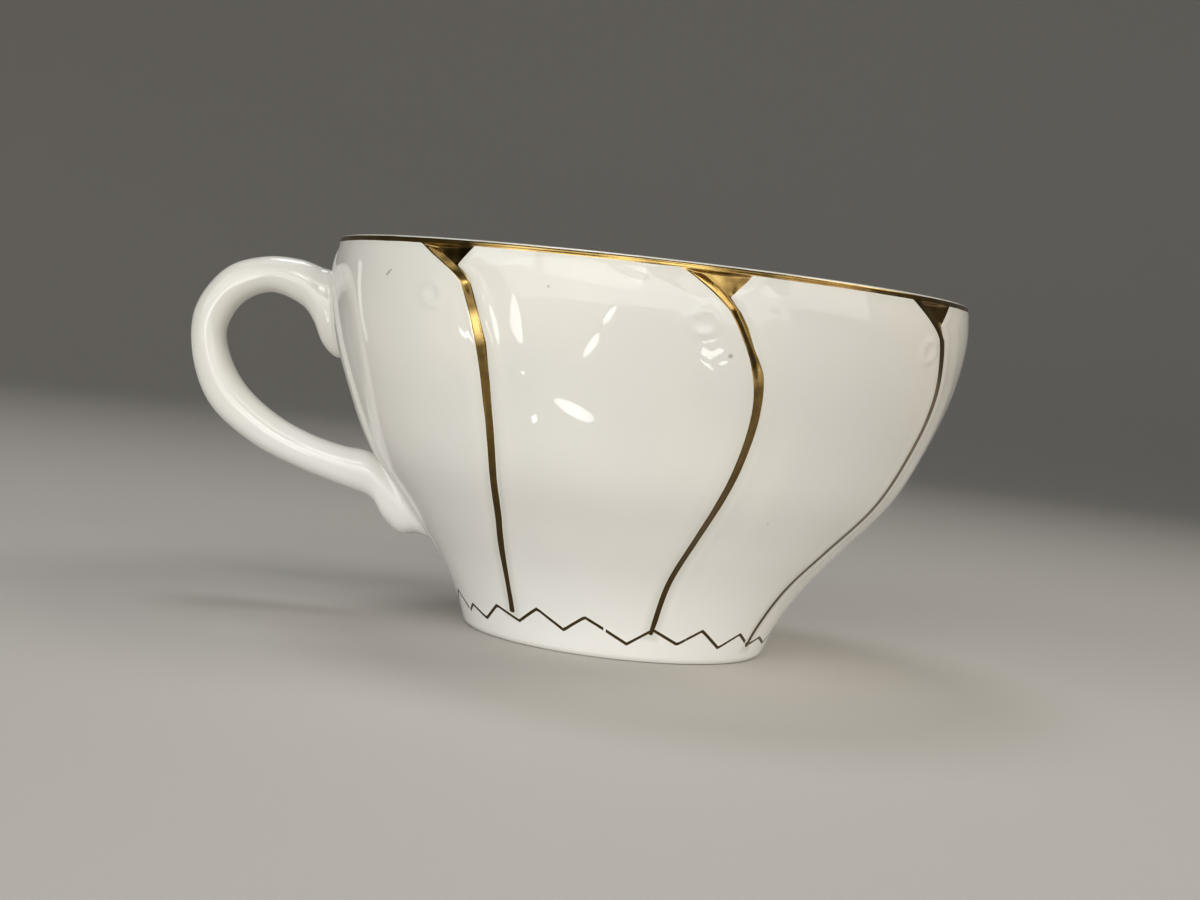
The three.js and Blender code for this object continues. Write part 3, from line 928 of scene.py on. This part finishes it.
# Small window panes low in front, which the glaze and the gold show as flashes
panes = {
    "tallPane": {"place": (-71.9, -90.7, 27.8), "aim": (-35, -25, 60), "upright": (0, 0.3, 1),
                 "size": (9.5, 30), "glow": 11, "beam": 80, "shape": "ELLIPSE"},
    "handlePane": {"place": (-69, -260, 201), "aim": (-53, -3, 48), "size": (44, 40), "glow": 9,
                   "beam": 20},
    "bendPane": {"place": (-107, -198, 39), "aim": (-63, -3, 48), "size": (26, 8), "glow": 8, "beam": 16},
    "armPane": {"place": (-52, -250, 103), "aim": (-50, -3, 24), "size": (60, 20), "glow": 7.5, "beam": 18},
    "ridgeStrip": {"place": (-165, 66, 34), "aim": (-42, -20, 42), "size": (8, 56), "glow": 1.5,
                   "beam": 50},
    "bevelPane": {"place": (-142, -59, 329), "aim": (-27, -39, 54), "size": (80, 80), "glow": 1.8,
                  "beam": 40},
    "slimPane": {"place": (-97.5, -79.5, 12.8), "aim": (-20, -43, 44), "upright": (-13, 14, 14),
                 "size": (3, 22), "glow": 11, "shape": "ELLIPSE"},
    "farPane": {"place": (-34, -152, 25.4), "aim": (-5, -48, 48), "upright": (0.38, -0.2, 1),
                "size": (4.4, 20), "glow": 7.5, "shape": "ELLIPSE"},
    "nearPane": {"place": (-34, -115, 12.2), "aim": (-7, -47, 44), "upright": (5.3, -7.1, 12.8),
                 "size": (4.4, 18), "glow": 7.5, "shape": "ELLIPSE"},
    "rightPane": {"place": (38, -125.6, 12.4), "aim": (8, -47, 45), "upright": (1, 0, 3),
                  "size": (9, 2.2), "glow": 7.5},
    "rightSill": {"place": (38.6, -123, 6.1), "aim": (8, -47, 43), "upright": (1, 0, 3),
                  "size": (13, 3.2), "glow": 7.5},
    "lowPane": {"place": (-21.5, -68, 9.3), "aim": (-8, -44, 35.5), "upright": (1, 0, 2.6),
                "size": (13, 3.6), "glow": 8, "shape": "ELLIPSE"},
    "lowChip": {"place": (-34, -58, 8.8), "aim": (-13, -42, 34), "upright": (0, 0, 1), "size": (2.8, 1.6),
                "glow": 9},
    "dotPane": {"place": (-49.5, -69.4, 11.6), "aim": (-18, -42.5, 39), "upright": (0, 0, 1),
                "size": (1.2, 1.2), "glow": 12},
    "edgePane": {"place": (-116, -101, 32.7), "aim": (-25, -42, 48), "upright": (0.3, 0, 1),
                 "size": (3, 9), "glow": 9},
}


def addLight(name, place, size, glow, beam=40, aim=(0, 0, 28), upright=(0, 0, 1), colour="#ffffff",
             shape="RECTANGLE"):
    data = bpy.data.lights.new(name, "AREA")
    data.shape = shape
    data.size, data.size_y = size[0] * mm, size[1] * mm
    data.spread = math.radians(beam)
    half = math.tan(data.spread / 2)
    area = data.size * data.size_y * (math.pi / 4 if shape == "ELLIPSE" else 1)
    data.energy = glow * math.pi * area * (half - data.spread / 2) / half
    data.color = hexColour(colour)[:3]
    lamp = bpy.data.objects.new(name, data)
    bpy.context.scene.collection.objects.link(lamp)
    back = (Vector(place) - Vector(aim)).normalized()
    side = Vector(upright).cross(back).normalized()
    turned = Matrix((side, back.cross(side), back)).transposed().to_4x4()
    lamp.matrix_world = Matrix.Translation(axis + Vector(place) * mm) @ turned
    lamp.visible_camera = False


room = {
    "colour": "#8e9196",
    "glow": 0.4,
}


def lightScene():
    for name, settings in {**softboxes, **panes}.items():
        addLight(name, **settings)
    world = bpy.data.worlds.new("dimRoom")
    bpy.context.scene.world = world
    world.use_nodes = True
    ground = world.node_tree.nodes["Background"]
    ground.inputs["Color"].default_value = hexColour(room["colour"])
    ground.inputs["Strength"].default_value = room["glow"]
    bpy.context.scene.view_settings.view_transform = "Standard"


sweep()
lightScene()
print("stage and lights placed")

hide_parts("cup")
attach(petalCup, "root")
